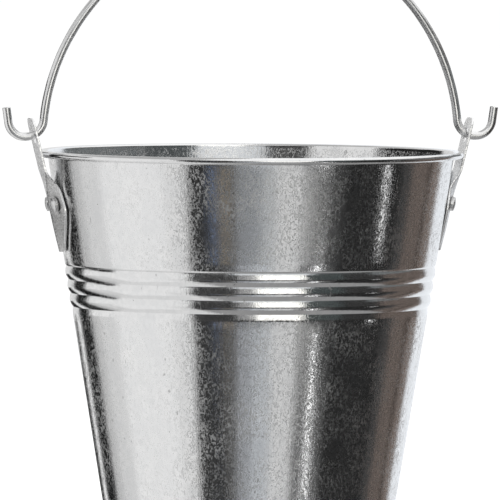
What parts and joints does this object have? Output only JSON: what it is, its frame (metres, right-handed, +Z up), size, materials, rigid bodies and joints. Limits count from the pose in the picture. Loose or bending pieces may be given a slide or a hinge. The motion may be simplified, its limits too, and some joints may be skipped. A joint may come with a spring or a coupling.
{
  "type": "feed bucket",
  "caption": "Tapered galvanised steel feed bucket with ribbed wall, wired rim, riveted ears and a swinging wire bail.",
  "frame": {"origin": "on the ground under the bucket's axis", "axes": "+Z up the bucket's axis, X along the bail's pivots through both ears, Y the way the bail swings"},
  "size_m": [0.3632, 0.305, 0.4427],
  "materials": {
    "zinc_sheet": "bright galvanised sheet with fine mottled grain",
    "zinc_wire": "galvanised drawn wire, slightly dull, lengthwise draw marks",
    "zinc_ear": "galvanised pressed sheet, satin, bright cut edge",
    "zinc_rivet": "galvanised rivet head, satin"
  },
  "bodies": {
    "bucket": {"body_shell": "zinc_sheet", "bottom_disc": "zinc_sheet", "rim_wire": "zinc_wire", "ear_right": "zinc_ear", "ear_left": "zinc_ear", "rivet_right_a": "zinc_rivet", "rivet_right_b": "zinc_rivet", "rivet_left_a": "zinc_rivet", "rivet_left_b": "zinc_rivet"},
    "bail": {"bail": "zinc_wire"}
  },
  "joints": [
    {"name": "bail_swing", "type": "hinge", "parent": "bucket", "child": "bail", "pos_m": [0, 0, 0.2918], "axis": [1, 0, 0], "range_deg": [-92, 92]}
  ]
}
